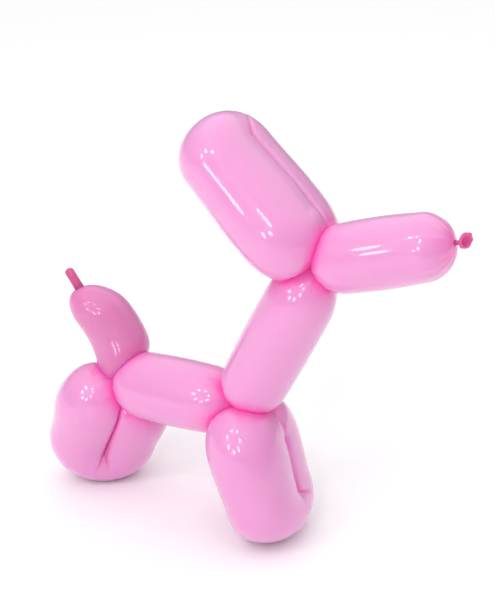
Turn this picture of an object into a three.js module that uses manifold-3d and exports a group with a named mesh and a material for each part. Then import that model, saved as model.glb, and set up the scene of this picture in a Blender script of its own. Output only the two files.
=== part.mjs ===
// A balloon dog, twisted from one long modelling balloon.
//
// Millimetres, +Z up, +X towards the nose, +Y to the dog's left.
// The balloon runs without a break from its knot to its empty tip:
// knot, nose, ears, neck, front legs, body, hind legs, tail, tip.
// The ears, the front legs and the hind legs are each one long bubble folded in half,
// so that its two limbs lie side by side and share one joint.
// It is a single skin, so the whole dog is one solid, resting on its folded legs.

import * as THREE from "three";
import { mergeVertices } from "three/addons/utils/BufferGeometryUtils.js";
import Module from "manifold-3d";

const wasm = await Module();
wasm.setup();

// Bubbles that run straight from one twist to the next, with the diameter at both ends,
// the waist taken off in the middle (a bulge where it is below zero), and how far
// the rounded ends reach along the bubble
const NOSE = { length: 102, diameter: 47.5, endDiameter: 45, waist: -3, startRound: 24, endRound: 22 };
const NECK = { length: 132, diameter: 49, endDiameter: 49, waist: -1.5, startRound: 26, endRound: 34 };
const BODY = { length: 110, diameter: 49.5, endDiameter: 49.5, waist: -3, startRound: 28, endRound: 28 };
const TAIL = { length: 78, diameter: 48, endDiameter: 41, waist: 2, startRound: 30, endRound: 21 };

// Bubbles folded in half: length is from the twist to the outside of the fold,
// spread is from the seam to the middle of a limb, squash flattens the fold,
// lean is how many degrees a limb leans outwards where it leaves the twist,
// bulge is what the radius gains halfway along a limb
const EARS = { length: 126, diameter: 51, spread: 14.5, squash: 0.84, lean: 20, bulge: 1.5 };
const FRONT_LEGS = { length: 104, diameter: 51, spread: 17.5, squash: 0.76, lean: 31, bulge: 1.5 };
const HIND_LEGS = { length: 97, diameter: 48.5, spread: 18, squash: 0.9, lean: 44, bulge: 3 };

// Pose in degrees: yaw turns from +X towards +Y, pitch lifts towards +Z,
// and roll turns a folded bubble about its own length. The neck bubble leans
// a little further forward than the line from the chest to the head's twist
const NOSE_AIM = { yaw: 6, pitch: 17.5 };
const KNOT_AIM = { yaw: 6, pitch: 15 };
const NECK_AIM = { yaw: 8.5, pitch: 64.5 };
const HEAD_AIM = { yaw: 8.5, pitch: 66.5 };
const EARS_AIM = { yaw: 173, pitch: 40, roll: 7.5 };
const FRONT_LEGS_AIM = { yaw: -7.5, pitch: -68.5, roll: -16 };
const HIND_LEGS_AIM = { yaw: 180, pitch: -69.5, roll: 50 };
const TAIL_AIM = { yaw: 173, pitch: 58.5 };
const TAIL_BOW = new THREE.Vector3(11, 6.5, -2);

// Limbs leave a twist leaning outwards, then run side by side from this depth on
const LIMB_RISE = 31;
const LIMB_SWING = 1.4;
const FOLD_WIDENING = 1.06;

// Ends of the balloon and the twists between bubbles
const TWIST_DIAMETER = 9;
const TIP = { length: 17, diameter: 6.7, aim: { yaw: 165, pitch: 42 } };
const KNOT = { stem: 3.5, stemDiameter: 3.4, flare: 1, length: 7.5, diameter: 11.5, lip: 3 };

// How far neighbouring surfaces are pressed together, how far the body bulges past
// the hip twist, how deep the ends are rooted, and how far the feet give on the floor
const PRESS = 0.4;
const HIP_BULGE = 5;
const ROOT_SINK = 3;
const FOOT_PRESS = 1.5;

// How far the two limbs of a folded bubble are set off from exact mirror images
const HAIR = 0.05;

// Edges shorter than this are cleared where skins cross
const SLIVER = 0.01;

// How far the floor block reaches past the dog on each side, and how deep it is
const FLOOR_MARGIN = 10;
const FLOOR_DEPTH = 20;

// Roundness of the bubble ends (2 is an ellipse) and the fineness of the facets
const END_POWER = 2.1;
const SIDES = 22;
const END_RINGS = 6;
const MIDDLE_RINGS = 4;
const LEAN_RINGS = 7;
const FOLD_RINGS = 6;
const SMALL_END_RINGS = 4;

const LATEX = new THREE.MeshStandardMaterial({
  color: 0xf09fd6,
  roughness: 0.28,
  metalness: 0,
});

// Unit vector from a yaw and a pitch
function direction({ yaw, pitch }) {
  const turn = THREE.MathUtils.degToRad(yaw);
  const lift = THREE.MathUtils.degToRad(pitch);
  const level = Math.cos(lift);
  return new THREE.Vector3(level * Math.cos(turn), level * Math.sin(turn), Math.sin(lift));
}

function pointAlong(start, aim, distance) {
  return start.clone().addScaledVector(direction(aim), distance);
}

// Share of the full radius at a distance from the pole of a rounded end
function roundEnd(distance, depth) {
  const inward = Math.max(0, 1 - distance / depth);
  return Math.pow(1 - Math.pow(inward, END_POWER), 1 / END_POWER);
}

// Steps along a rounded end, close together near its pole
function endSteps(depth, rings = END_RINGS) {
  const steps = [];
  for (let ring = 0; ring < rings; ring += 1) {
    steps.push(depth * (1 - Math.cos((ring / rings) * (Math.PI / 2))));
  }
  return steps;
}

function evenSteps(from, to, rings) {
  const steps = [];
  for (let ring = 0; ring <= rings; ring += 1) {
    steps.push(from + ((to - from) * ring) / rings);
  }
  return steps;
}

// A turned skin closed at both ends, along +Y, moved point by point by a function
function turnedGeometry(profile, place) {
  const geometry = new THREE.LatheGeometry(profile, SIDES);
  const position = geometry.getAttribute("position");
  const point = new THREE.Vector3();
  for (let index = 0; index < position.count; index += 1) {
    point.fromBufferAttribute(position, index);
    place(point);
    position.setXYZ(index, point.x, point.y, point.z);
  }
  geometry.deleteAttribute("normal");
  geometry.deleteAttribute("uv");
  return mergeVertices(geometry);
}

// A triangle that lost an edge at a pole or a crease is left out
function wholeTriangles(geometry) {
  const index = geometry.getIndex().array;
  const triangles = [];
  for (let corner = 0; corner < index.length; corner += 3) {
    const [a, b, c] = index.slice(corner, corner + 3);
    if (a !== b && b !== c && c !== a) {
      triangles.push(a, b, c);
    }
  }
  return triangles;
}

function solidFrom(geometry) {
  const mesh = new wasm.Mesh({
    numProp: 3,
    vertProperties: new Float32Array(geometry.getAttribute("position").array),
    triVerts: new Uint32Array(wholeTriangles(geometry)),
  });
  return new wasm.Manifold(mesh);
}

function geometryFrom(solid) {
  const mesh = solid.getMesh();
  const geometry = new THREE.BufferGeometry();
  geometry.setAttribute("position", new THREE.BufferAttribute(mesh.vertProperties, 3));
  geometry.setIndex(new THREE.BufferAttribute(mesh.triVerts, 1));
  return geometry;
}

// Stands a turned skin at a point and aims its +Y along a direction
function aimed(start, along) {
  const turn = new THREE.Quaternion().setFromUnitVectors(new THREE.Vector3(0, 1, 0), along);
  return (point) => point.applyQuaternion(turn).add(start);
}

// Outline of a straight bubble: two rounded ends, a taper and a waist
function bubbleProfile({ length, diameter, endDiameter, waist, startRound, endRound }) {
  const steps = [
    ...endSteps(startRound),
    ...evenSteps(startRound, length - endRound, MIDDLE_RINGS),
    ...endSteps(endRound).reverse().map((step) => length - step),
  ];
  return steps.map((step) => {
    const share = step / length;
    const full = THREE.MathUtils.lerp(diameter / 2, endDiameter / 2, share);
    const pinch = (waist / 2) * Math.sin(Math.PI * share) ** 2;
    const ends = roundEnd(step, startRound) * roundEnd(length - step, endRound);
    return new THREE.Vector2((full - pinch) * ends, step);
  });
}

function straightBubble(start, aim, size) {
  return solidFrom(turnedGeometry(bubbleProfile(size), aimed(start, direction(aim))));
}

// The tail is bent between its ends, so its middle is moved aside
function bowedBubble(start, aim, size, bow) {
  const stand = aimed(start, direction(aim));
  const bend = (point) => {
    const share = point.y / size.length;
    const amount = 4 * share * (1 - share);
    stand(point);
    point.addScaledVector(bow, amount);
  };
  return solidFrom(turnedGeometry(bubbleProfile(size), bend));
}

// Middle line of one limb of a folded bubble, from the twist to the middle of the fold:
// x is the distance from the seam, y the depth from the twist
function limbLine({ length, diameter, spread, squash, lean }) {
  const creaseDepth = length - squash * (spread + diameter / 2);
  const outwards = THREE.MathUtils.degToRad(lean);
  const swing = (LIMB_RISE * LIMB_SWING) / 3;
  const leaving = new THREE.CubicBezierCurve(
    new THREE.Vector2(0, 0),
    new THREE.Vector2(Math.sin(outwards) * swing, Math.cos(outwards) * swing),
    new THREE.Vector2(spread, (LIMB_RISE * 2) / 3),
    new THREE.Vector2(spread, LIMB_RISE),
  );
  const alongside = new THREE.LineCurve(
    new THREE.Vector2(spread, LIMB_RISE),
    new THREE.Vector2(spread, creaseDepth),
  );
  const fold = new THREE.EllipseCurve(0, creaseDepth, spread, spread, 0, Math.PI / 2);
  const pieces = [leaving, alongside, fold];
  return { pieces, lengths: pieces.map((piece) => piece.getLength()), creaseDepth };
}

// Point and tangent of the middle line at a distance from the twist
function limbStation({ pieces, lengths }, distance) {
  let rest = distance;
  let number = 0;
  while (number < pieces.length - 1 && rest > lengths[number]) {
    rest -= lengths[number];
    number += 1;
  }
  const share = Math.min(1, rest / lengths[number]);
  const tangent = pieces[number].getTangentAt(share);
  return { point: pieces[number].getPointAt(share), outward: [tangent.y, -tangent.x] };
}

function limbProfile(line, size) {
  const [leaving, alongside, fold] = line.lengths;
  const straightEnd = leaving + alongside;
  const { bulge } = size;
  const radius = size.diameter / 2;
  const steps = [
    ...endSteps(radius).filter((step) => step < leaving),
    ...evenSteps(Math.min(radius, leaving), leaving, LEAN_RINGS - END_RINGS),
    ...evenSteps(leaving, straightEnd, MIDDLE_RINGS).slice(1),
    ...evenSteps(straightEnd, straightEnd + fold, FOLD_RINGS).slice(1),
  ];
  const outline = steps.map((step) => {
    const share = Math.min(1, step / straightEnd);
    const full = radius + bulge * Math.sin(Math.PI * share) ** 2;
    return new THREE.Vector2(full * roundEnd(step, radius), step);
  });
  outline.push(new THREE.Vector2(0, straightEnd + fold));
  return outline;
}

// One limb, with its seam on x = 0 and its length along +Y: the turned skin follows
// the middle line, is pressed flat at the seam, and meets the crease inside the fold
function limbPlacer(size, line) {
  const { creaseDepth } = line;
  const foldReach = size.spread + size.diameter / 2;
  return (point) => {
    const station = limbStation(line, point.y);
    const inFold = station.point.y > creaseDepth;
    const toSeam = inFold ? size.spread : station.point.x / station.outward[0];
    const reach = Math.max(point.x, -toSeam);
    const pressed = reach === -toSeam;
    const side = pressed ? 0 : station.point.x + reach * station.outward[0];
    const along = pressed && inFold ? creaseDepth : station.point.y + reach * station.outward[1];
    const past = Math.max(0, along - creaseDepth);
    const widening = 1 + (FOLD_WIDENING - 1) * THREE.MathUtils.smoothstep(past / foldReach, 0, 1);
    point.set(side - PRESS, along - past * (1 - size.squash), point.z * widening);
  };
}

// A folded bubble: a limb and its mirror image, pressed together at the seam and set
// a hair apart along it, so that no edge of one lies exactly on an edge of the other
function foldedBubble(size) {
  const line = limbLine(size);
  const limb = turnedGeometry(limbProfile(line, size), limbPlacer(size, line));
  const solid = solidFrom(limb);
  return solid.add(solid.mirror([1, 0, 0]).translate([0, HAIR, HAIR]));
}

// Turns a folded bubble so that its length follows an aim and its limbs lie apart
// along the level direction across it, then rolls it about its length
function foldedBubbleAt(start, aim, size) {
  const along = direction(aim);
  const across = new THREE.Vector3(0, 0, 1).cross(along).normalize();
  across.applyAxisAngle(along, THREE.MathUtils.degToRad(aim.roll));
  const matrix = new THREE.Matrix4();
  matrix.makeBasis(across, along, across.clone().cross(along));
  matrix.setPosition(start);
  return foldedBubble(size).transform(matrix.elements);
}

// Lump of twisted rubber where the bubbles meet
function twist(place) {
  const lump = new THREE.SphereGeometry(TWIST_DIAMETER / 2, 12, 8);
  lump.translate(place.x, place.y, place.z);
  lump.deleteAttribute("normal");
  lump.deleteAttribute("uv");
  return solidFrom(mergeVertices(lump));
}

// The empty tip of the balloon: a thin tube with a round end, rooted in the tail
function emptyTip(start) {
  const radius = TIP.diameter / 2;
  const length = TIP.length + ROOT_SINK;
  const steps = [
    ...evenSteps(0, length - radius, 2),
    ...endSteps(radius, SMALL_END_RINGS).reverse().map((step) => length - step),
  ];
  const outline = [new THREE.Vector2(0, 0)];
  steps.forEach((step) => outline.push(new THREE.Vector2(radius * roundEnd(length - step, radius), step)));
  const root = pointAlong(start, TIP.aim, -ROOT_SINK);
  return solidFrom(turnedGeometry(outline, aimed(root, direction(TIP.aim))));
}

// The knot at the nose: a tight stem, a tied lump and the rolled lip of the mouth
function knot(start, aim) {
  const stem = KNOT.stemDiameter / 2;
  const lump = KNOT.diameter / 2;
  const lumpStart = ROOT_SINK + KNOT.stem;
  const outline = [
    new THREE.Vector2(0, 0),
    new THREE.Vector2(stem, 0),
    new THREE.Vector2(stem, lumpStart - KNOT.flare),
  ];
  const rise = KNOT.length - KNOT.lip;
  for (let turn = 1; turn <= SMALL_END_RINGS; turn += 1) {
    const angle = (turn / SMALL_END_RINGS) * (Math.PI / 2);
    outline.push(new THREE.Vector2(
      stem + (lump - stem) * Math.sin(angle),
      lumpStart + rise * (1 - Math.cos(angle)),
    ));
  }
  outline.push(new THREE.Vector2(lump, lumpStart + KNOT.length - KNOT.lip / 2));
  outline.push(new THREE.Vector2(lump - KNOT.lip / 2, lumpStart + KNOT.length));
  outline.push(new THREE.Vector2(0, lumpStart + KNOT.length));
  const root = pointAlong(start, aim, -ROOT_SINK);
  return solidFrom(turnedGeometry(outline, aimed(root, direction(aim))));
}

// How far below its twist a pair of legs reaches
function reachBelow(aim, size) {
  const legs = foldedBubbleAt(new THREE.Vector3(), aim, size);
  return -legs.boundingBox().min[2];
}

// Twist places, worked out from the floor up: the dog stands on both pairs of legs
const chestHeight = reachBelow(FRONT_LEGS_AIM, FRONT_LEGS) - FOOT_PRESS;
const hipHeight = reachBelow(HIND_LEGS_AIM, HIND_LEGS) - FOOT_PRESS;
const hipDistance = BODY.length - HIP_BULGE;
const bodyPitch = THREE.MathUtils.radToDeg(Math.asin((hipHeight - chestHeight) / hipDistance));
const BODY_AIM = { yaw: 180, pitch: bodyPitch };

const chest = new THREE.Vector3(0, 0, chestHeight);
const hip = pointAlong(chest, BODY_AIM, hipDistance);
const head = pointAlong(chest, HEAD_AIM, NECK.length);
const noseEnd = pointAlong(head, NOSE_AIM, NOSE.length);
const tailEnd = pointAlong(hip, TAIL_AIM, TAIL.length);

const bubbles = [
  straightBubble(head, NOSE_AIM, NOSE),
  foldedBubbleAt(head, EARS_AIM, EARS),
  straightBubble(chest, NECK_AIM, NECK),
  foldedBubbleAt(chest, FRONT_LEGS_AIM, FRONT_LEGS),
  straightBubble(chest, BODY_AIM, BODY),
  foldedBubbleAt(hip, HIND_LEGS_AIM, HIND_LEGS),
  bowedBubble(hip, TAIL_AIM, TAIL, TAIL_BOW),
  emptyTip(tailEnd),
  knot(noseEnd, KNOT_AIM),
  ...[head, chest, hip].map(twist),
];

// Everything is one skin
function joined(solids) {
  return solids.reduce((whole, solid) => whole.add(solid));
}

// The feet are pressed flat on the floor
function pressedOnFloor(solid) {
  const { min, max } = solid.boundingBox();
  const [width, depth] = [0, 1].map((side) => max[side] - min[side] + 2 * FLOOR_MARGIN);
  const floor = new THREE.BoxGeometry(width, depth, FLOOR_DEPTH);
  floor.translate((min[0] + max[0]) / 2, (min[1] + max[1]) / 2, -FLOOR_DEPTH / 2);
  floor.deleteAttribute("normal");
  floor.deleteAttribute("uv");
  return solid.subtract(solidFrom(mergeVertices(floor)));
}

const geometry = geometryFrom(pressedOnFloor(joined(bubbles)).simplify(SLIVER));

// The origin is under the middle of the dog's outline, on the floor
geometry.computeBoundingBox();
const middle = geometry.boundingBox.getCenter(new THREE.Vector3());
const balloon = new THREE.Mesh(geometry, LATEX);
balloon.name = "balloon";
balloon.position.set(-middle.x, -middle.y, 0);

const dog = new THREE.Group();
dog.add(balloon);

export default dog;
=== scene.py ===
# A balloon dog, twisted from one long pink modelling balloon, standing on a pale floor.
# Sizes are in millimetres where no comment says otherwise. A finished piece is in metres.

import math

import bpy
from mathutils import Matrix, Quaternion, Vector


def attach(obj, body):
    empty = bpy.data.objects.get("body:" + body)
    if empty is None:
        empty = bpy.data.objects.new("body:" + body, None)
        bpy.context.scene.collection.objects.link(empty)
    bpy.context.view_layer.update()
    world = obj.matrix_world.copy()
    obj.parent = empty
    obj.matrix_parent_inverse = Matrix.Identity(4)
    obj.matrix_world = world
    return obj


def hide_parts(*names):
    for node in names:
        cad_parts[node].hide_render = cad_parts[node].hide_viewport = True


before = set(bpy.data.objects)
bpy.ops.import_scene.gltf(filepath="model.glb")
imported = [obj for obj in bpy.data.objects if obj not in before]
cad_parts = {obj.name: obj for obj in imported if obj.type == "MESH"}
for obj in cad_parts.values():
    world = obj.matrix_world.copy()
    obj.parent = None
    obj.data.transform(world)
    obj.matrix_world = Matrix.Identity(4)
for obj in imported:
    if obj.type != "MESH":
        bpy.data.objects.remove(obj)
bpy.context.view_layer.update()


# The nose, neck, body and tail: straight lengths of one blown-up latex balloon, about 50 mm
# thick. The twists at their ends shut them, and the skin is gathered there in small pleats.
# The far ends of the nose and the tail aren't twisted: they go into the knot and the empty tip.

# Twists, in the row frame
CHEST = Vector((1.365, -4.976, 97.692))
HIP = Vector((-103.460, -4.976, 91.633))
HEAD = Vector((53.421, 2.804, 218.744))

# Length, diameter at both ends, waist (a bulge below zero) and depth of the round ends
NOSE = dict(length=102, diameter=47.5, end=45, waist=-3, start_round=24, end_round=22)
NECK = dict(length=132, diameter=49, end=49, waist=-1.5, start_round=26, end_round=34)
BODY = dict(length=110, diameter=49.5, end=49.5, waist=-3, start_round=28, end_round=28)
TAIL = dict(length=78, diameter=48, end=41, waist=2, start_round=30, end_round=21)
TAIL_BOW = Vector((11, 6.5, -2))

# Aims in degrees: yaw from +X towards +Y, and pitch upwards
NOSE_AIM = dict(yaw=6, pitch=17.5)
NECK_AIM = dict(yaw=8.5, pitch=64.5)
BODY_AIM = dict(yaw=180, pitch=-3.308)
TAIL_AIM = dict(yaw=173, pitch=58.5)

# How round the ends are (2 is an ellipse)
END_POWER = 2.1

# How far the pleats run from a twist, how they turn on the way, and how far the skin is tight
PLEAT_REACH = 7.0
PLEAT_TURN = 0.09
TIGHT_REACH = 9.0

# Points closer than this become one, which closes the poles
WELD = 0.001


class Wire:
    """A socket of a node tree. Arithmetic on it adds maths nodes to the tree."""

    def __init__(self, socket):
        self.socket = socket

    def __add__(self, other):
        return maths("ADD", self, other)

    def __radd__(self, other):
        return maths("ADD", other, self)

    def __sub__(self, other):
        return maths("SUBTRACT", self, other)

    def __rsub__(self, other):
        return maths("SUBTRACT", other, self)

    def __mul__(self, other):
        return maths("MULTIPLY", self, other)

    def __rmul__(self, other):
        return maths("MULTIPLY", other, self)

    def __truediv__(self, other):
        return maths("DIVIDE", self, other)

    def __rtruediv__(self, other):
        return maths("DIVIDE", other, self)

    def __pow__(self, other):
        return maths("POWER", self, other)

    def __neg__(self):
        return maths("MULTIPLY", self, -1.0)


def plug(socket, value):
    """Links a wire to a socket, or sets a plain value on it."""
    if isinstance(value, Wire):
        socket.id_data.links.new(value.socket, socket)
    else:
        socket.default_value = value


def node(tree, kind, inputs, output=0, **settings):
    """Adds a node, plugs its inputs by name or number and gives one of its outputs."""
    made = tree.nodes.new(kind)
    for name, value in settings.items():
        setattr(made, name, value)
    for key, value in inputs.items():
        plug(made.inputs[key], value)
    return Wire(made.outputs[output])


def maths(operation, *values):
    """One maths node, for vectors where any of the values is one."""
    wires = [value for value in values if isinstance(value, Wire)]
    tree = wires[0].socket.id_data
    of_vectors = any(wire.socket.type == "VECTOR" for wire in wires)
    kind = "ShaderNodeVectorMath" if of_vectors else "ShaderNodeMath"
    return node(tree, kind, dict(enumerate(values)), operation=operation)


def smooth(value, start, end, low=0.0, high=1.0):
    """Goes softly from low to high while value goes from start to end."""
    ends = {"Value": value, "From Min": start, "From Max": end, "To Min": low, "To Max": high}
    kind = "ShaderNodeMapRange"
    return node(value.socket.id_data, kind, ends, "Result", interpolation_type="SMOOTHSTEP")


def larger(a, b):
    return maths("MAXIMUM", a, b)


def smaller(a, b):
    return maths("MINIMUM", a, b)


def fading(distance, reach):
    """One at no distance, falling away with it."""
    return maths("EXPONENT", -(distance / reach))


def parts(wire):
    """The three numbers of a vector."""
    split = wire.socket.id_data.nodes.new("ShaderNodeSeparateXYZ")
    plug(split.inputs[0], wire)
    return [Wire(output) for output in split.outputs]


# Latex: opaque candy pink where it is stretched, deeper where it is gathered or has no stretch,
# with a satin skin under a thin gloss. The deeper pink is also painted shade, next to
# neighbouring bubbles and along the seams and creases
STRETCHED = (0.76, 0.305, 0.6)
GATHERED_AND_SHADE = (1.0, 0.07, 0.46)
UNSTRETCHED = (0.54, 0.09, 0.27)
UNSTRETCHED_FOLDS = (0.42, 0.02, 0.16)

# How far the painted shade, a deeper pink, runs from a neighbour, its share there, and the
# share of deeper pink at a twist, which is partly the gathered skin and partly painted shade
SHADE_REACH = 5.0
SHADE_BY_NEIGHBOUR = 0.9
DEEP_AT_TWIST = 0.55

# Painted glow: the skin gives out light of its own where two bubbles press together, standing
# in for the light that comes through the thin skin there
GLOW = (1.0, 0.07, 0.5)
NO_GLOW = (0.0, 0.0, 0.0)
GLOW_REACH = 1.3
GLOW_STRENGTH = 0.2

# Roughness of the stretched skin, what bare rubber adds to it, and what it takes off the gloss
SATIN = 0.34
BARE_MATT = 0.16
BARE_DULL = 0.8
GLOSS_ROUGHNESS = 0.05

# How much light goes into the skin, how far each colour of it goes, in metres, and its bending
SKIN_DEPTH_SHARE = 0.8
SKIN_DEPTH_COLOUR = (1.0, 0.35, 0.6)
SKIN_DEPTH = 0.012
LATEX_IOR = 1.45


def read(tree, name):
    return node(tree, "ShaderNodeAttribute", {}, "Fac", attribute_name=name)


def mixed(tree, factor, a, b):
    """One colour going over into another."""
    mix = tree.nodes.new("ShaderNodeMix")
    mix.data_type = "RGBA"
    plug(mix.inputs[0], factor)
    for socket, colour in ((mix.inputs[6], a), (mix.inputs[7], b)):
        plug(socket, colour if isinstance(colour, Wire) else (*colour, 1.0))
    return Wire(mix.outputs[2])


def latex_material():
    """The skin's finish, with painted shade and a painted glow, from what each point keeps:
    near, tight, seam and rubber.
    """
    material = bpy.data.materials.new("latex")
    material.use_nodes = True
    tree = material.node_tree
    shader = tree.nodes["Principled BSDF"].inputs
    near = read(tree, "near")
    tight = read(tree, "tight")
    bare = smooth(read(tree, "rubber"), 0.0, 1.0)
    # Painted shade: deeper pink next to neighbouring bubbles and along the seams; at the twists
    # it is partly the gathered skin and partly painted shade
    shade_by_neighbour = fading(near, SHADE_REACH) * SHADE_BY_NEIGHBOUR
    gathered_and_shade = larger(larger(shade_by_neighbour, tight * tight * DEEP_AT_TWIST), read(tree, "seam"))
    colour = mixed(tree, smaller(gathered_and_shade, 1.0) * (1.0 - bare), STRETCHED, GATHERED_AND_SHADE)
    rubber = mixed(tree, tight, UNSTRETCHED, UNSTRETCHED_FOLDS)
    # Painted glow where two bubbles press together
    glow = fading(near, GLOW_REACH) * (1.0 - bare)
    plug(shader["Base Color"], mixed(tree, bare, colour, rubber))
    plug(shader["Roughness"], SATIN + bare * BARE_MATT)
    plug(shader["Coat Weight"], 1.0 - bare * BARE_DULL)
    plug(shader["Emission Color"], mixed(tree, glow, NO_GLOW, GLOW))
    shader["Emission Strength"].default_value = GLOW_STRENGTH
    shader["Coat Roughness"].default_value = GLOSS_ROUGHNESS
    shader["Subsurface Weight"].default_value = SKIN_DEPTH_SHARE
    shader["Subsurface Radius"].default_value = SKIN_DEPTH_COLOUR
    shader["Subsurface Scale"].default_value = SKIN_DEPTH
    shader["IOR"].default_value = LATEX_IOR
    return material


def new_tree(name, sockets):
    """An empty Geometry Nodes tree with named inputs, and a wire for each of them."""
    tree = bpy.data.node_groups.new(name, "GeometryNodeTree")
    tree.interface.new_socket("Geometry", in_out="OUTPUT", socket_type="NodeSocketGeometry")
    for label, kind in sockets.items():
        tree.interface.new_socket(label, in_out="INPUT", socket_type="NodeSocket" + kind)
    given = tree.nodes.new("NodeGroupInput")
    return tree, {label: Wire(given.outputs[label]) for label in sockets}


def end_tree(tree, geometry, material):
    """Ends a tree with its material."""
    real = node(tree, "GeometryNodeRealizeInstances", {"Geometry": geometry})
    painted = node(tree, "GeometryNodeSetMaterial", {"Geometry": real, "Material": material})
    plug(tree.nodes.new("NodeGroupOutput").inputs[0], painted)
    return tree


def grown(tree, name, values):
    """An object whose mesh is what the tree gives for these input values."""
    made = bpy.data.objects.new(name, bpy.data.meshes.new(name))
    bpy.context.scene.collection.objects.link(made)
    modifier = made.modifiers.new("shape", "NODES")
    modifier.node_group = tree
    for item in tree.interface.items_tree:
        if item.in_out == "INPUT" and item.name in values:
            modifier[item.identifier] = values[item.name]
    made.update_tag()
    depsgraph = bpy.context.evaluated_depsgraph_get()
    evaluated = made.evaluated_get(depsgraph)
    shaped = bpy.data.meshes.new_from_object(
        evaluated, preserve_all_data_layers=True, depsgraph=depsgraph
    )
    made.modifiers.remove(modifier)
    made.data = shaped
    return made


def tube(tree, sides, rings):
    """An open tube with its angle round it and its share along it."""
    skin = node(
        tree,
        "GeometryNodeMeshCylinder",
        {"Vertices": sides, "Side Segments": rings, "Radius": 1.0, "Depth": 2.0},
        fill_type="NONE",
    )
    x, y, z = parts(node(tree, "GeometryNodeInputPosition", {}))
    return skin, maths("ARCTAN2", y, x), z * 0.5 + 0.5


def stored(tree, geometry, name, value):
    """Keeps a number at each point of the geometry, for the material to read."""
    inputs = {"Geometry": geometry, "Name": name, "Value": value}
    kind = "GeometryNodeStoreNamedAttribute"
    return node(tree, kind, inputs, data_type="FLOAT", domain="POINT")


def moved(tree, geometry, position):
    return node(tree, "GeometryNodeSetPosition", {"Geometry": geometry, "Position": position})


def closed(tree, geometry):
    """Closes the poles of a tube and shades it smooth."""
    inputs = {"Geometry": geometry, "Distance": WELD}
    welded = node(tree, "GeometryNodeMergeByDistance", inputs)
    return node(tree, "GeometryNodeSetShadeSmooth", {"Geometry": welded})


def placed(given, across, up, along):
    """A point given along a piece's own directions, in the row frame."""
    third = maths("CROSS_PRODUCT", given["Along"], given["Across"])
    sideways = given["Across"] * across + third * up
    return given["Start"] + sideways + given["Along"] * along


def finer_at_ends(share, length):
    """Distance along a piece, with its rings closer together towards both ends."""
    return length * (0.5 - maths("COSINE", share * math.pi) * 0.5)


def round_end(distance, depth):
    """Share of the full radius at a distance from the pole of a round end."""
    inward = larger(1.0 - distance / depth, 0.0)
    return larger(1.0 - inward**END_POWER, 0.0) ** (1 / END_POWER)


def pleats(given, angle, distance):
    """Small uneven folds round a tight end, which fade away from it and turn with the twist."""
    turning = angle * given["Pleats"] + distance * PLEAT_TURN
    uneven = maths("SINE", angle * 3.0 + 1.3) * 1.7 + maths("SINE", angle * 5.0) * 0.9
    wave = maths("COSINE", turning + uneven) * 0.5 + 0.5
    return wave * given["Pleat Depth"] * fading(distance, PLEAT_REACH)


STAND = {"Start": "Vector", "Along": "Vector", "Across": "Vector"}
FINE = {"Sides": "Int", "Rings": "Int", "Pleats": "Float", "Pleat Depth": "Float"}
PAINT = {"Rubber": "Float", "Material": "Material"}
STRAIGHT = {
    "Length": "Float",
    "Diameter": "Float",
    "End Diameter": "Float",
    "Waist": "Float",
    "Start Round": "Float",
    "End Round": "Float",
    "Bow": "Vector",
    "End Tightness": "Float",
}


def straight_tree():
    """A straight bubble: round ends, a taper, a waist, a bow and pleats at its tight ends."""
    tree, given = new_tree("straight_bubble", STAND | STRAIGHT | FINE | PAINT)
    skin, angle, share = tube(tree, given["Sides"], given["Rings"])
    distance = finer_at_ends(share, given["Length"])
    left = given["Length"] - distance
    part = distance / given["Length"]
    bulge = maths("SINE", part * math.pi)
    full = given["Diameter"] * 0.5 * (1.0 - part) + given["End Diameter"] * 0.5 * part
    ends = round_end(distance, given["Start Round"]) * round_end(left, given["End Round"])
    folds = pleats(given, angle, distance) + pleats(given, angle, left) * given["End Tightness"]
    radius = (full - given["Waist"] * 0.5 * bulge * bulge) * ends * (1.0 - folds)
    end_tight = fading(left, TIGHT_REACH) * given["End Tightness"]
    skin = stored(tree, skin, "tight", larger(fading(distance, TIGHT_REACH), end_tight))
    skin = stored(tree, skin, "rubber", given["Rubber"])
    skin = stored(tree, skin, "seam", 0.0)
    across = radius * maths("COSINE", angle)
    up = radius * maths("SINE", angle)
    point = placed(given, across, up, distance) + given["Bow"] * (part * (1.0 - part) * 4.0)
    return end_tree(tree, closed(tree, moved(tree, skin, point)), given["Material"])


def direction(aim):
    """Unit vector from a yaw and a pitch."""
    yaw = math.radians(aim["yaw"])
    pitch = math.radians(aim["pitch"])
    level = math.cos(pitch)
    return Vector((level * math.cos(yaw), level * math.sin(yaw), math.sin(pitch)))


def stand(start, aim):
    """Where a piece starts and the directions it has: along it, and level across it."""
    along = direction(aim)
    across = Vector((0, 0, 1)).cross(along).normalized()
    across = Quaternion(along, math.radians(aim.get("roll", 0))) @ across
    return {"Start": start, "Along": along, "Across": across}


latex = latex_material()
bubble_tree = straight_tree()


def straight_bubble(name, start, aim, size, **changes):
    """A straight bubble, grown from its named sizes."""
    values = {
        "Length": float(size["length"]),
        "Diameter": float(size["diameter"]),
        "End Diameter": float(size["end"]),
        "Waist": float(size["waist"]),
        "Start Round": float(size["start_round"]),
        "End Round": float(size["end_round"]),
        "Bow": Vector((0, 0, 0)),
        "End Tightness": 1.0,
        "Sides": 96,
        "Rings": 88,
        "Pleats": 13.0,
        "Pleat Depth": 0.1,
        "Rubber": 0.0,
        "Material": latex,
    }
    values.update({label.replace("_", " "): value for label, value in changes.items()})
    return grown(bubble_tree, name, stand(start, aim) | values)


nose = straight_bubble("nose", HEAD, NOSE_AIM, NOSE)
neck = straight_bubble("neck", CHEST, NECK_AIM, NECK)
body = straight_bubble("body", CHEST, BODY_AIM, BODY)
# The tail is blown up less, so its skin is duller; its deeper colour is partly that and partly
# painted shade, for the less light that falls on it
tail_changes = dict(Bow=TAIL_BOW, End_Tightness=0.12, Rubber=0.48)
tail = straight_bubble("tail", HIP, TAIL_AIM, TAIL, **tail_changes)


# The ears, front legs and hind legs: three long bubbles of the same balloon, each folded in
# half and locked by the twist that takes both its ends. The two limbs press flat on each other,
# and the skin bridges the seam between them and creases inside the fold.

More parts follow.
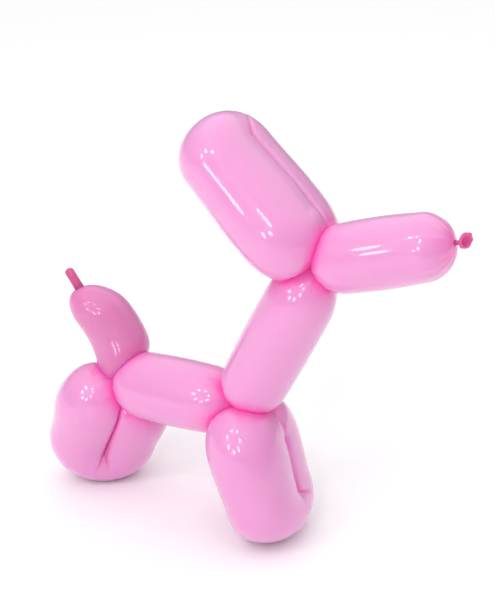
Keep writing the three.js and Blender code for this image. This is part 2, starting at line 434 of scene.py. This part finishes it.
# Length to the outside of the fold, diameter of a limb, spread from the seam to the middle of a
# limb, squash of the fold, lean of a limb where it leaves the twist, and bulge at its middle
EARS = dict(length=126, diameter=51, spread=14.5, squash=0.84, lean=20, bulge=1.5)
FRONT_LEGS = dict(length=104, diameter=51, spread=17.5, squash=0.76, lean=31, bulge=1.5)
HIND_LEGS = dict(length=97, diameter=48.5, spread=18, squash=0.9, lean=44, bulge=3)

# Yaw and pitch as before, and roll about the bubble's own length
EARS_AIM = dict(yaw=173, pitch=40, roll=7.5)
FRONT_LEGS_AIM = dict(yaw=-7.5, pitch=-68.5, roll=-16)
HIND_LEGS_AIM = dict(yaw=180, pitch=-69.5, roll=50)

# How much the skin bridges the seam between two limbs, and how deep the line is that it leaves,
# which also sets how strong the painted shade along the seam is
SOFT_SEAM = dict(fill=0.27, depth=0.35)
DEEP_SEAM = dict(fill=0.17, depth=1.0)

# The crease in the fold of each limb: slant from the seam in degrees, reach and strength
EAR_CREASES = ((20, 6, 0), (34, 24, 0.9))
FRONT_CREASES = ((58, 14, 1), (26, 6, 0))
HIND_CREASES = ((9, 13, 1), (27, 11, 1))

# How far from the twist the limbs lie side by side, and how softly they swing in to that
LIMB_RISE = 31
LIMB_SWING = 1.4
PATH_STEPS = 60
FOLD_STEPS = 80

# How much wider the skin is at the outside of the fold, and the least slope of a limb's side
FOLD_WIDENING = 1.06
LEAST_SLOPE = 0.05

# The seam's bridge, its line and the crease: reach or width in millimetres, and depth as a
# share of the limb's height
BRIDGE_REACH = 8.0
LINE_WIDTH = 1.5
LINE_DEPTH = 0.035
LINE_END = 7.0
CREASE_WIDTH = 1.5
CREASE_DEPTH = 0.085

# Width and strength of the painted shade, a deeper pink, along the seam, and its strength along
# the crease
SEAM_SHADE_WIDTH = 1.7
SEAM_SHADE = 0.9
CREASE_SHADE = 0.7

FOLDED = {
    "Path": "Object",
    "Radius": "Float",
    "Spread": "Float",
    "Squash": "Float",
    "Crease Depth": "Float",
    "Bulge": "Float",
    "Crease Angle": "Float",
    "Crease Reach": "Float",
    "Crease Strength": "Float",
    "Seam Fill": "Float",
    "Seam Depth": "Float",
}


def hump(distance, width):
    """One at no distance, falling away like a bell on both sides."""
    share = distance / width
    return maths("EXPONENT", -(share * share))


def path_line(tree, path):
    return node(tree, "GeometryNodeObjectInfo", {"Object": path}, "Geometry")


def path_station(tree, path, distance):
    """Where the middle line of a limb is at a distance from the twist, and its outward side."""
    sample = tree.nodes.new("GeometryNodeSampleCurve")
    sample.mode = "LENGTH"
    plug(sample.inputs["Curves"], path_line(tree, path))
    plug(sample.inputs["Length"], distance)
    x, y, _ = parts(Wire(sample.outputs["Position"]))
    tangent_x, tangent_y, _ = parts(Wire(sample.outputs["Tangent"]))
    return x, y, tangent_y, -tangent_x


def limb_radius(given, angle, distance, total):
    """Radius of a limb: a round end with pleats at the twist, and a bulge at its middle."""
    alongside = smaller(distance / (total - given["Spread"] * (math.pi / 2)), 1.0)
    bulge = maths("SINE", alongside * math.pi)
    full = given["Radius"] + given["Bulge"] * bulge * bulge
    return full * round_end(distance, given["Radius"]) * (1.0 - pleats(given, angle, distance))


def held_at_seam(given, station, across):
    """Side and depth of a point, held back at the seam and at the crease inside the fold."""
    x, y, out_x, out_y = station
    in_fold = maths("GREATER_THAN", y, given["Crease Depth"])
    slope = larger(out_x, LEAST_SLOPE)
    to_seam = in_fold * given["Spread"] + (1.0 - in_fold) * (x / slope)
    pressed = maths("LESS_THAN", across, -to_seam)
    reach = larger(across, -to_seam)
    side = (x + reach * out_x) * (1.0 - pressed)
    free = y + reach * out_y
    return side, free + pressed * in_fold * (given["Crease Depth"] - free)


def fold_crease(given, side, past):
    """A crease that runs on from the end of the seam over the fold."""
    slant_x = maths("SINE", given["Crease Angle"])
    slant_y = maths("COSINE", given["Crease Angle"])
    apart = side * slant_y - past * slant_x
    run = side * slant_x + past * slant_y
    started = smooth(run, -1.0, 1.0) * given["Crease Strength"]
    return hump(apart, CREASE_WIDTH) * hump(run, given["Crease Reach"]) * started


def seam_relief(given, side, past):
    """Height of the skin near the seam, as a share, and how strong the painted shade, a deeper
    pink, is there.
    """
    beside = 1.0 - smooth(past, 0.0, LINE_END)
    from_seam = maths("SQRT", side * side + past * past)
    bridge = given["Seam Fill"] * fading(from_seam, BRIDGE_REACH)
    line = given["Seam Depth"] * LINE_DEPTH * fading(side, LINE_WIDTH) * beside
    crease = fold_crease(given, side, past)
    # Painted shade: a deeper pink along the seam and along the crease in the fold
    seam_shade = fading(side, SEAM_SHADE_WIDTH) * beside * given["Seam Depth"] * SEAM_SHADE
    return 1.0 + bridge - line - crease * CREASE_DEPTH, larger(seam_shade, crease * CREASE_SHADE)


def folded_tree():
    """One limb of a bubble folded in half, flat at its seam and creased inside the fold."""
    tree, given = new_tree("folded_limb", STAND | FOLDED | FINE | PAINT)
    skin, angle, share = tube(tree, given["Sides"], given["Rings"])
    total = node(tree, "GeometryNodeCurveLength", {"Curve": path_line(tree, given["Path"])})
    distance = finer_at_ends(share, total)
    radius = limb_radius(given, angle, distance, total)
    station = path_station(tree, given["Path"], distance)
    side, along = held_at_seam(given, station, radius * maths("COSINE", angle))
    past = larger(along - given["Crease Depth"], 0.0)
    fold_share = past / (given["Spread"] + given["Radius"])
    widening = smooth(fold_share, 0.0, 1.0, 1.0, FOLD_WIDENING)
    relief, seam_shade = seam_relief(given, side, past)
    height = radius * maths("SINE", angle) * widening * relief
    skin = stored(tree, skin, "tight", fading(distance, TIGHT_REACH))
    skin = stored(tree, skin, "rubber", given["Rubber"])
    # Painted shade along the seam and the crease, kept for the material
    skin = stored(tree, skin, "seam", seam_shade)
    point = placed(given, side, height, along - past * (1.0 - given["Squash"]))
    return end_tree(tree, closed(tree, moved(tree, skin, point)), given["Material"])


def path_object(name, points):
    """A curve through points, for a tree to follow."""
    curve = bpy.data.curves.new(name, "CURVE")
    curve.dimensions = "3D"
    spline = curve.splines.new("POLY")
    spline.points.add(len(points) - 1)
    for place, (x, y) in zip(spline.points, points):
        place.co = (x, y, 0, 1)
    made = bpy.data.objects.new(name, curve)
    bpy.context.scene.collection.objects.link(made)
    return made


def bezier(corners, steps):
    """Points on a cubic curve with four corners."""
    points = []
    for step in range(steps):
        t = step / steps
        weights = ((1 - t) ** 3, 3 * t * (1 - t) ** 2, 3 * t**2 * (1 - t), t**3)
        points.append(sum((Vector(c) * w for c, w in zip(corners, weights)), Vector((0, 0))))
    return points


def limb_path(size, crease_depth):
    """Middle line of one limb, from the twist to the middle of the fold."""
    lean = math.radians(size["lean"])
    swing = LIMB_RISE * LIMB_SWING / 3
    spread = size["spread"]
    corners = (
        (0, 0),
        (math.sin(lean) * swing, math.cos(lean) * swing),
        (spread, LIMB_RISE * 2 / 3),
        (spread, LIMB_RISE),
    )
    points = bezier(corners, PATH_STEPS)
    for step in range(PATH_STEPS):
        points.append((spread, LIMB_RISE + (crease_depth - LIMB_RISE) * step / PATH_STEPS))
    for step in range(FOLD_STEPS + 1):
        turn = math.pi / 2 * step / FOLD_STEPS
        points.append((spread * math.cos(turn), crease_depth + spread * math.sin(turn)))
    return points


limb_tree = folded_tree()


def folded_bubble(name, start, aim, size, seam, creases):
    """The two limbs of a folded bubble. The second is the first turned about its length."""
    radius = size["diameter"] / 2
    crease_depth = size["length"] - size["squash"] * (size["spread"] + radius)
    path = path_object(name + "_path", limb_path(size, crease_depth))
    values = {
        "Path": path,
        "Radius": radius,
        "Spread": float(size["spread"]),
        "Squash": float(size["squash"]),
        "Crease Depth": crease_depth,
        "Bulge": float(size["bulge"]),
        "Seam Fill": seam["fill"],
        "Seam Depth": seam["depth"],
        "Sides": 88,
        "Rings": 92,
        "Pleats": 13.0,
        "Pleat Depth": 0.1,
        "Rubber": 0.0,
        "Material": latex,
    }
    limbs = []
    for side, (slant, reach, strength) in zip((1, -1), creases):
        place = stand(start, aim)
        place["Across"] = place["Across"] * side
        crease = {
            "Crease Angle": math.radians(slant),
            "Crease Reach": float(reach),
            "Crease Strength": float(strength),
        }
        limbs.append(grown(limb_tree, f"{name}_{side}", place | values | crease))
    bpy.data.objects.remove(path)
    return limbs


ears = folded_bubble("ears", HEAD, EARS_AIM, EARS, SOFT_SEAM, EAR_CREASES)
front_legs = folded_bubble(
    "front_legs", CHEST, FRONT_LEGS_AIM, FRONT_LEGS, SOFT_SEAM, FRONT_CREASES
)
hind_legs = folded_bubble("hind_legs", HIP, HIND_LEGS_AIM, HIND_LEGS, DEEP_SEAM, HIND_CREASES)


# The empty tip: the last of the balloon, where no air was blown in. It is a narrow closed tube
# of bare rubber that was never stretched, and it grows out of the end of the tail.
TIP = dict(length=20, diameter=7.6, end=7.2, waist=0.3, start_round=0.5, end_round=3.2)
TIP_AIM = dict(yaw=165, pitch=42)

# How far a small end piece starts inside the bubble that it grows out of
ROOT_SINK = 3

tail_end = HIP + TAIL["length"] * direction(TAIL_AIM)
tip = straight_bubble(
    "tip",
    tail_end - ROOT_SINK * direction(TIP_AIM),
    TIP_AIM,
    TIP,
    Sides=32,
    Rings=40,
    Pleats=3.0,
    Pleat_Depth=0.06,
    Rubber=1.0,
    End_Tightness=0.0,
)


# The knot: the mouth of the balloon, tied off at the end of the nose to keep the air in. A thin
# stem of bare rubber widens into the mouth's rolled lip, which stands a little askew.
KNOT_AIM = dict(yaw=6, pitch=15, roll=12)

# Its outline: radius and distance from its root, through the stem and over the rolled lip
KNOT_OUTLINE = (
    (0, 0), (2.2, 0.2), (2.0, 3.0), (1.6, 4.4), (1.7, 5.7), (2.5, 6.6), (3.6, 7.0), (4.6, 7.3),
    (5.2, 7.8), (5.5, 8.6), (5.2, 9.5), (4.5, 9.9), (3.8, 9.5), (3.3, 8.8), (2.5, 8.3),
    (1.4, 7.9), (0.6, 7.5), (0, 7.2),
)

# Length over which the lip flares, and the radii between which the rubber's colour goes lighter
FLARE_REACH = 3.0
STEM_RADIUS = 1.2
LIP_RADIUS = 4.5
STEM_TIGHT = 0.6


def turned_tree():
    """A turned skin whose outline is a path, lopsided round its axis and tilted to one side."""
    own = {"Path": "Object", "Lopsided": "Float", "Tilt": "Float", "Flare Start": "Float"}
    tree, given = new_tree("turned_lip", STAND | own | FINE | PAINT)
    skin, angle, share = tube(tree, given["Sides"], given["Rings"])
    sample = tree.nodes.new("GeometryNodeSampleCurve")
    sample.mode = "FACTOR"
    plug(sample.inputs["Curves"], path_line(tree, given["Path"]))
    plug(sample.inputs["Factor"], share)
    radius, along, _ = parts(Wire(sample.outputs["Position"]))
    flared = smooth(along, given["Flare Start"], given["Flare Start"] + FLARE_REACH)
    leaning = maths("COSINE", angle)
    lopsided = 1.0 + leaning * given["Lopsided"] * flared
    wave = maths("COSINE", angle * given["Pleats"] + maths("SINE", angle * 2.0)) * 0.5 + 0.5
    wide = radius * lopsided * (1.0 - wave * given["Pleat Depth"])
    tight = smooth(radius, STEM_RADIUS, LIP_RADIUS, 1.0, 0.0) * STEM_TIGHT
    skin = stored(tree, skin, "tight", tight)
    skin = stored(tree, skin, "rubber", given["Rubber"])
    skin = stored(tree, skin, "seam", 0.0)
    across = wide * leaning
    rise = along + across * given["Tilt"] * flared
    point = placed(given, across, wide * maths("SINE", angle), rise)
    return end_tree(tree, closed(tree, moved(tree, skin, point)), given["Material"])


nose_end = HEAD + NOSE["length"] * direction(NOSE_AIM)
knot_path = path_object("knot_path", KNOT_OUTLINE)
knot_values = {
    "Path": knot_path,
    "Lopsided": 0.32,
    "Tilt": 0.55,
    "Flare Start": 5.0,
    "Sides": 56,
    "Rings": 64,
    "Pleats": 7.0,
    "Pleat Depth": 0.1,
    "Rubber": 1.0,
    "Material": latex,
}
knot_place = stand(nose_end - ROOT_SINK * direction(KNOT_AIM), KNOT_AIM)
knot = grown(turned_tree(), "knot", knot_place | knot_values)
bpy.data.objects.remove(knot_path)


# The whole skin: all of these are one balloon, twisted by hand and never cut, so they are one
# piece of latex. It is held by nothing but its own twists and knot. Each bubble is drawn in
# where its neighbours press on it, and the feet are flat where they stand on the floor.
METRE = 0.001

# How deep a bubble is drawn in by its neighbours, and how far from them
GROOVE = 0.4
GROOVE_REACH = 2.2

# Next to a twist the skin is already as tight as it gets, so the groove ends there
TIGHT_FULL = 0.75
TIGHT_FREE = 0.2


def pressing_tree():
    """Draws a bubble in where its neighbours press on it, and flattens it on the floor."""
    sockets = {"Skin": "Object", "Others": "Object", "Groove": "Float", "Reach": "Float"}
    tree, given = new_tree("pressing", sockets | {"Material": "Material"})
    skin = node(tree, "GeometryNodeObjectInfo", {"Object": given["Skin"]}, "Geometry")
    others = node(tree, "GeometryNodeObjectInfo", {"Object": given["Others"]}, "Geometry")
    near = node(tree, "GeometryNodeProximity", {0: others}, "Distance", target_element="FACES")
    inputs = {"Name": "tight"}
    tight = node(tree, "GeometryNodeInputNamedAttribute", inputs, data_type="FLOAT")
    skin = stored(tree, skin, "near", near)
    free = smooth(tight, TIGHT_FULL, TIGHT_FREE)
    normal = node(tree, "GeometryNodeInputNormal", {})
    position = node(tree, "GeometryNodeInputPosition", {})
    drawn_in = position - normal * (given["Groove"] * fading(near, given["Reach"]) * free)
    x, y, z = parts(drawn_in)
    resting = node(tree, "ShaderNodeCombineXYZ", {0: x, 1: y, 2: larger(z, 0.0)})
    return end_tree(tree, moved(tree, skin, resting), given["Material"])


press_tree = pressing_tree()


def joined(name, objects):
    """Several meshes as one."""
    whole = bpy.data.objects.new(name, bpy.data.meshes.new(name))
    bpy.context.scene.collection.objects.link(whole)
    for member in objects:
        member.select_set(True)
    members = [whole, *objects]
    with bpy.context.temp_override(active_object=whole, selected_editable_objects=members):
        bpy.ops.object.join()
    return whole


def copy_of(thing):
    twin = thing.copy()
    twin.data = thing.data.copy()
    bpy.context.scene.collection.objects.link(twin)
    return twin


def pressed_together(groups):
    """Each bubble drawn in by all that touch it. A group's own limbs don't count as others."""
    done = []
    for group in groups:
        rest = [copy_of(thing) for other in groups if other is not group for thing in other]
        others = joined("others", rest)
        values = {"Others": others, "Groove": GROOVE, "Reach": GROOVE_REACH, "Material": latex}
        for skin in group:
            done.append(grown(press_tree, skin.name + "_pressed", values | {"Skin": skin}))
        bpy.data.objects.remove(others)
    for group in groups:
        for thing in group:
            bpy.data.objects.remove(thing)
    return done


bubbles = [[nose], [neck], [body], [tail], ears, front_legs, hind_legs, [tip], [knot]]
balloon = joined("balloon_skin", pressed_together(bubbles))
balloon.data.transform(Matrix.Scale(METRE, 4))
balloon.data.shade_smooth()
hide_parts("balloon")
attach(balloon, "root")


# The floor: a plain pale sheet that the dog stands on. It isn't part of the object. It reaches
# 40 metres to each side, so that its edge doesn't show.
FLOOR_REACH = 40.0
FLOOR_COLOUR = (0.96, 0.96, 0.96, 1.0)
FLOOR_ROUGHNESS = 0.8


def floor_sheet():
    corners = [(-1, -1), (1, -1), (1, 1), (-1, 1)]
    points = [(x * FLOOR_REACH, y * FLOOR_REACH, 0.0) for x, y in corners]
    mesh = bpy.data.meshes.new("floor")
    mesh.from_pydata(points, [], [(0, 1, 2, 3)])
    made = bpy.data.objects.new("floor", mesh)
    bpy.context.scene.collection.objects.link(made)
    material = bpy.data.materials.new("floor")
    material.use_nodes = True
    shader = material.node_tree.nodes["Principled BSDF"].inputs
    shader["Base Color"].default_value = FLOOR_COLOUR
    shader["Roughness"].default_value = FLOOR_ROUGHNESS
    mesh.materials.append(material)
    return made


floor_sheet()


# The camera: it stands a metre from the dog, in front of its right side and a little above it.
# Angles are in degrees, and the nearest distance that it sees is in metres.
CAMERA = dict(azimuth=29.79, elevation=24.82, distance=1000, lens=80.82)
NEAREST_SEEN = 0.05
TARGET = Vector((1.365, -4.976, 96.71))
TARGET_RIGHT = 4.4
TARGET_UP = 73.51

azimuth = math.radians(CAMERA["azimuth"])
elevation = math.radians(CAMERA["elevation"])
right = Vector((math.cos(azimuth), math.sin(azimuth), 0))
back = Vector((
    math.sin(azimuth) * math.cos(elevation),
    -math.cos(azimuth) * math.cos(elevation),
    math.sin(elevation),
))
up = back.cross(right)


def camera_at(target):
    data = bpy.data.cameras.new("camera")
    data.lens = CAMERA["lens"]
    data.clip_start = NEAREST_SEEN
    made = bpy.data.objects.new("camera", data)
    bpy.context.scene.collection.objects.link(made)
    turn = Matrix((right, up, back)).transposed().to_4x4()
    made.matrix_world = Matrix.Translation(target + back * CAMERA["distance"] * METRE) @ turn
    bpy.context.scene.camera = made


camera_at((TARGET + right * TARGET_RIGHT + up * TARGET_UP) * METRE)


# The light: a pale room, and one large soft box above the dog. Seven bulbs in a ring, above and
# to the left of the camera, give the small rings of spots on the round ends. Places and sizes
# are in metres, powers in watts.
MIDDLE = Vector((0, 0, 0.15))

BOX_PLACE = Vector((0, 0.6, 3.05))
BOX_SIZE = 6.0
BOX_POWER = 66

# The ring's aim is given to the right, up and towards the camera
BULBS = 7
BULB_SIZE = 0.24
BULB_POWER = 1.5
RING_RADIUS = 0.54
RING_DISTANCE = 1.5
RING_AIM = (-0.47, 0.2, 0.86)

# The room is dimmer low down. Heights are those of the direction in which it is seen.
WALL_FOOT = 0.05
WALL_TOP = 0.6
FOOT_STRENGTH = 0.27
TOP_STRENGTH = 0.78


def area_light(name, place, size, power, shape="SQUARE"):
    """A flat light that faces the middle of the dog."""
    data = bpy.data.lights.new(name, "AREA")
    data.shape = shape
    data.size = size
    data.energy = power
    made = bpy.data.objects.new(name, data)
    bpy.context.scene.collection.objects.link(made)
    look = (MIDDLE - place).to_track_quat("-Z", "Y").to_matrix().to_4x4()
    made.matrix_world = Matrix.Translation(place) @ look


def ring_of_bulbs():
    aim_right, aim_up, aim_back = RING_AIM
    aim = (right * aim_right + up * aim_up + back * aim_back).normalized()
    level = aim.cross(Vector((0, 0, 1))).normalized()
    steep = aim.cross(level)
    for bulb in range(BULBS):
        turn = math.tau * bulb / BULBS
        spread = level * math.cos(turn) + steep * math.sin(turn)
        place = MIDDLE + aim * RING_DISTANCE + spread * RING_RADIUS
        area_light(f"bulb_{bulb}", place, BULB_SIZE, BULB_POWER, "DISK")


def pale_room():
    world = bpy.data.worlds.new("room")
    bpy.context.scene.world = world
    world.use_nodes = True
    tree = world.node_tree
    _, _, height = parts(node(tree, "ShaderNodeTexCoord", {}, "Generated"))
    background = tree.nodes["Background"].inputs
    background["Color"].default_value = (1.0, 1.0, 1.0, 1.0)
    strength = smooth(height, WALL_FOOT, WALL_TOP, FOOT_STRENGTH, TOP_STRENGTH)
    plug(background["Strength"], strength)


area_light("top", MIDDLE + BOX_PLACE, BOX_SIZE, BOX_POWER)
ring_of_bulbs()
pale_room()
bpy.context.scene.view_settings.view_transform = "Standard"
